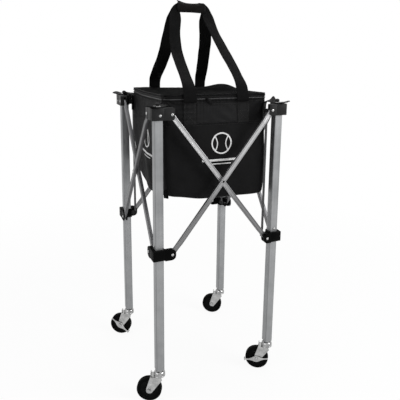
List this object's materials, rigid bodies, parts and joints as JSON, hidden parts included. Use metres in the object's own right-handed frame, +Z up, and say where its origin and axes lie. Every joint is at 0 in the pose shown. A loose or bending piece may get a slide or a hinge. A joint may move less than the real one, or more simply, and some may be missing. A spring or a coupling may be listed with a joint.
{
  "type": "folding ball cart",
  "caption": "Folding square cart on swivel casters: scissor bars on sliding collars carry a zipped fabric ball bag with a lid and twin strap handles.",
  "frame": {"origin": "Middle of the bounding box, on the floor under the casters.", "axes": "+Z up. The four legs' square is aligned with X and Y, and the bag's front with the zip slider faces -Y."},
  "size_m": [0.48, 0.458, 1.2227],
  "materials": {
    "aluminium": "satin anodised tube",
    "bar_aluminium": "bright drawn flat bar",
    "black_nylon": "moulded, fine grain",
    "steel": "zinc plated",
    "tyre": "matt black",
    "fabric": "woven polyester",
    "webbing": "woven webbing"
  },
  "bodies": {
    "leg_front_left": {"leg_front_left": "aluminium", "corner_bracket_front_left": "black_nylon", "leg_rivet_front_left": "steel", "swivel_cap_front_left": "steel"},
    "snap_button_front_left": {"snap_button_front_left": "steel"},
    "slider_front_left": {"slider_front_left": "black_nylon"},
    "fork_front_left": {"fork_front_left": "steel", "axle_front_left": "steel"},
    "wheel_front_left": {"wheel_front_left": "tyre"},
    "leg_front_right": {"leg_front_right": "aluminium", "corner_bracket_front_right": "black_nylon", "leg_rivet_front_right": "steel", "swivel_cap_front_right": "steel"},
    "snap_button_front_right": {"snap_button_front_right": "steel"},
    "slider_front_right": {"slider_front_right": "black_nylon"},
    "fork_front_right": {"fork_front_right": "steel", "axle_front_right": "steel"},
    "wheel_front_right": {"wheel_front_right": "tyre"},
    "leg_rear_right": {"leg_rear_right": "aluminium", "corner_bracket_rear_right": "black_nylon", "leg_rivet_rear_right": "steel", "swivel_cap_rear_right": "steel"},
    "snap_button_rear_right": {"snap_button_rear_right": "steel"},
    "slider_rear_right": {"slider_rear_right": "black_nylon"},
    "fork_rear_right": {"fork_rear_right": "steel", "axle_rear_right": "steel"},
    "wheel_rear_right": {"wheel_rear_right": "tyre"},
    "leg_rear_left": {"leg_rear_left": "aluminium", "corner_bracket_rear_left": "black_nylon", "leg_rivet_rear_left": "steel", "swivel_cap_rear_left": "steel"},
    "snap_button_rear_left": {"snap_button_rear_left": "steel"},
    "slider_rear_left": {"slider_rear_left": "black_nylon"},
    "fork_rear_left": {"fork_rear_left": "steel", "axle_rear_left": "steel"},
    "wheel_rear_left": {"wheel_rear_left": "tyre"},
    "bar_inner_front": {"bar_inner_front": "bar_aluminium"},
    "bar_outer_front": {"bar_outer_front": "bar_aluminium", "crossing_pin_front": "steel"},
    "bar_inner_right": {"bar_inner_right": "bar_aluminium"},
    "bar_outer_right": {"bar_outer_right": "bar_aluminium", "crossing_pin_right": "steel"},
    "bar_inner_rear": {"bar_inner_rear": "bar_aluminium"},
    "bar_outer_rear": {"bar_outer_rear": "bar_aluminium", "crossing_pin_rear": "steel"},
    "bar_inner_left": {"bar_inner_left": "bar_aluminium"},
    "bar_outer_left": {"bar_outer_left": "bar_aluminium", "crossing_pin_left": "steel"},
    "brake_lever_front_right": {"brake_lever_front_right": "steel"},
    "brake_lever_rear_left": {"brake_lever_rear_left": "steel"},
    "bag": {"bag_shell": "fabric", "corner_tab_front_left": "webbing", "corner_tab_front_right": "webbing", "corner_tab_rear_right": "webbing", "corner_tab_rear_left": "webbing"},
    "lid": {"bag_lid": "fabric"},
    "zip": {"zip_slider": "steel"},
    "handle_front": {"handle_front": "webbing", "grip_wrap": "webbing"},
    "handle_rear": {"handle_rear": "webbing"}
  },
  "joints": [
    {"name": "fold", "type": "hinge", "parent": "leg_front_left", "child": "bar_inner_front", "pos_m": [-0.13792, -0.19671, 0.898], "axis": [0, 1, 0], "range_deg": [0, 28.2], "deforming": ["bag_shell", "bag_lid", "corner_tab_front_left", "corner_tab_front_right", "corner_tab_rear_right", "corner_tab_rear_left", "handle_front", "handle_rear"]},
    {"name": "crossing_front", "type": "hinge", "parent": "bar_inner_front", "child": "bar_outer_front", "pos_m": [0.02088, -0.19671, 0.693], "axis": [0, 1, 0], "range_deg": [-56.4, 0]},
    {"name": "fold_leg_front_right", "type": "hinge", "parent": "bar_outer_front", "child": "leg_front_right", "pos_m": [0.17968, -0.19671, 0.898], "axis": [0, 1, 0], "range_deg": [0, 28.2]},
    {"name": "fold_slider_front_right", "type": "hinge", "parent": "bar_inner_front", "child": "slider_front_right", "pos_m": [0.17968, -0.19671, 0.488], "axis": [0, 1, 0], "range_deg": [-28.2, 0]},
    {"name": "fold_slider_front_left", "type": "hinge", "parent": "bar_outer_front", "child": "slider_front_left", "pos_m": [-0.13792, -0.19671, 0.488], "axis": [0, 1, 0], "range_deg": [0, 28.2]},
    {"name": "fold_outer_left", "type": "hinge", "parent": "leg_front_left", "child": "bar_outer_left", "pos_m": [-0.17392, -0.16871, 0.898], "axis": [1, 0, 0], "range_deg": [-28.2, 0]},
    {"name": "crossing_left", "type": "hinge", "parent": "bar_outer_left", "child": "bar_inner_left", "pos_m": [-0.17392, -0.00991, 0.693], "axis": [1, 0, 0], "range_deg": [0, 56.4]},
    {"name": "fold_leg_rear_left", "type": "hinge", "parent": "bar_inner_left", "child": "leg_rear_left", "pos_m": [-0.17392, 0.14889, 0.898], "axis": [1, 0, 0], "range_deg": [-28.2, 0]},
    {"name": "fold_slider_rear_left", "type": "hinge", "parent": "bar_outer_left", "child": "slider_rear_left", "pos_m": [-0.17392, 0.14889, 0.488], "axis": [1, 0, 0], "range_deg": [0, 28.2]},
    {"name": "fold_inner_right", "type": "hinge", "parent": "leg_front_right", "child": "bar_inner_right", "pos_m": [0.20768, -0.16071, 0.898], "axis": [-1, 0, 0], "range_deg": [0, 28.2]},
    {"name": "crossing_right", "type": "hinge", "parent": "bar_inner_right", "child": "bar_outer_right", "pos_m": [0.20768, -0.00191, 0.693], "axis": [-1, 0, 0], "range_deg": [-56.4, 0]},
    {"name": "fold_leg_rear_right", "type": "hinge", "parent": "bar_outer_right", "child": "leg_rear_right", "pos_m": [0.20768, 0.15689, 0.898], "axis": [-1, 0, 0], "range_deg": [0, 28.2]},
    {"name": "fold_slider_rear_right", "type": "hinge", "parent": "bar_inner_right", "child": "slider_rear_right", "pos_m": [0.20768, 0.15689, 0.488], "axis": [-1, 0, 0], "range_deg": [-28.2, 0]},
    {"name": "fold_inner_rear", "type": "hinge", "parent": "leg_rear_right", "child": "bar_inner_rear", "pos_m": [0.17168, 0.18489, 0.898], "axis": [0, -1, 0], "range_deg": [0, 28.2]},
    {"name": "fold_outer_rear", "type": "hinge", "parent": "leg_rear_left", "child": "bar_outer_rear", "pos_m": [-0.14592, 0.18489, 0.898], "axis": [0, -1, 0], "range_deg": [-28.2, 0]},
    {"name": "bag_gather", "type": "slide", "parent": "leg_front_left", "child": "bag", "axis": [-0.7071, -0.7071, 0], "range_m": [0, 0.1638]},
    {"name": "lid_hinge", "type": "hinge", "parent": "bag", "child": "lid", "pos_m": [0.01688, 0.15859, 0.9308], "axis": [1, 0, 0], "range_deg": [-100, 0]},
    {"name": "zip_travel", "type": "slide", "parent": "bag", "child": "zip", "axis": [1, 0, 0], "range_m": [-0.024, 0.088]},
    {"name": "handle_front_swing", "type": "hinge", "parent": "bag", "child": "handle_front", "pos_m": [0.01688, -0.17071, 0.9305], "axis": [-1, 0, 0], "range_deg": [-100, 0]},
    {"name": "handle_rear_swing", "type": "hinge", "parent": "bag", "child": "handle_rear", "pos_m": [0.01688, 0.15889, 0.9305], "axis": [1, 0, 0], "range_deg": [-100, 0]},
    {"name": "snap_button_press_front_left", "type": "slide", "parent": "leg_front_left", "child": "snap_button_front_left", "axis": [1, 0, 0], "range_m": [0, 0.003], "stiffness_N_per_m": 400},
    {"name": "swivel_front_left", "type": "hinge", "parent": "leg_front_left", "child": "fork_front_left", "pos_m": [-0.17392, -0.19671, 0.086], "axis": [0, 0, 1], "continuous": true},
    {"name": "wheel_spin_front_left", "type": "hinge", "parent": "fork_front_left", "child": "wheel_front_left", "pos_m": [-0.20244, -0.18218, 0.039], "axis": [-0.454, -0.891, 0], "continuous": true},
    {"name": "snap_button_press_front_right", "type": "slide", "parent": "leg_front_right", "child": "snap_button_front_right", "axis": [0, 1, 0], "range_m": [0, 0.003], "stiffness_N_per_m": 400},
    {"name": "swivel_front_right", "type": "hinge", "parent": "leg_front_right", "child": "fork_front_right", "pos_m": [0.20768, -0.19671, 0.086], "axis": [0, 0, 1], "continuous": true},
    {"name": "wheel_spin_front_right", "type": "hinge", "parent": "fork_front_right", "child": "wheel_front_right", "pos_m": [0.18179, -0.1779, 0.039], "axis": [-0.5878, -0.809, 0], "continuous": true},
    {"name": "brake_press_front_right", "type": "hinge", "parent": "fork_front_right", "child": "brake_lever_front_right", "pos_m": [0.18179, -0.1779, 0.039], "axis": [-0.5878, -0.809, 0], "range_deg": [0, 25]},
    {"name": "snap_button_press_rear_right", "type": "slide", "parent": "leg_rear_right", "child": "snap_button_rear_right", "axis": [-1, 0, 0], "range_m": [0, 0.003], "stiffness_N_per_m": 400},
    {"name": "swivel_rear_right", "type": "hinge", "parent": "leg_rear_right", "child": "fork_rear_right", "pos_m": [0.20768, 0.18489, 0.086], "axis": [0, 0, 1], "continuous": true},
    {"name": "wheel_spin_rear_right", "type": "hinge", "parent": "fork_rear_right", "child": "wheel_rear_right", "pos_m": [0.18025, 0.20137, 0.039], "axis": [-0.515, -0.8572, 0], "continuous": true},
    {"name": "snap_button_press_rear_left", "type": "slide", "parent": "leg_rear_left", "child": "snap_button_rear_left", "axis": [0, -1, 0], "range_m": [0, 0.003], "stiffness_N_per_m": 400},
    {"name": "swivel_rear_left", "type": "hinge", "parent": "leg_rear_left", "child": "fork_rear_left", "pos_m": [-0.17392, 0.18489, 0.086], "axis": [0, 0, 1], "continuous": true},
    {"name": "wheel_spin_rear_left", "type": "hinge", "parent": "fork_rear_left", "child": "wheel_rear_left", "pos_m": [-0.20135, 0.20137, 0.039], "axis": [-0.515, -0.8572, 0], "continuous": true},
    {"name": "brake_press_rear_left", "type": "hinge", "parent": "fork_rear_left", "child": "brake_lever_rear_left", "pos_m": [-0.20135, 0.20137, 0.039], "axis": [-0.515, -0.8572, 0], "range_deg": [0, 25]}
  ],
  "couplings": [
    {"joint": "crossing_front", "follows": "fold", "ratio": -2},
    {"joint": "fold_leg_front_right", "follows": "fold", "ratio": 1},
    {"joint": "fold_slider_front_right", "follows": "fold", "ratio": -1},
    {"joint": "fold_slider_front_left", "follows": "fold", "ratio": 1},
    {"joint": "fold_outer_left", "follows": "fold", "ratio": -1},
    {"joint": "crossing_left", "follows": "fold", "ratio": 2},
    {"joint": "fold_leg_rear_left", "follows": "fold", "ratio": -1},
    {"joint": "fold_slider_rear_left", "follows": "fold", "ratio": 1},
    {"joint": "fold_inner_right", "follows": "fold", "ratio": 1},
    {"joint": "crossing_right", "follows": "fold", "ratio": -2},
    {"joint": "fold_leg_rear_right", "follows": "fold", "ratio": 1},
    {"joint": "fold_slider_rear_right", "follows": "fold", "ratio": -1},
    {"joint": "fold_inner_rear", "follows": "fold", "ratio": 1},
    {"joint": "fold_outer_rear", "follows": "fold", "ratio": -1},
    {"joint": "bag_gather", "follows": "fold", "m_per_rad": 0.3325}
  ]
}
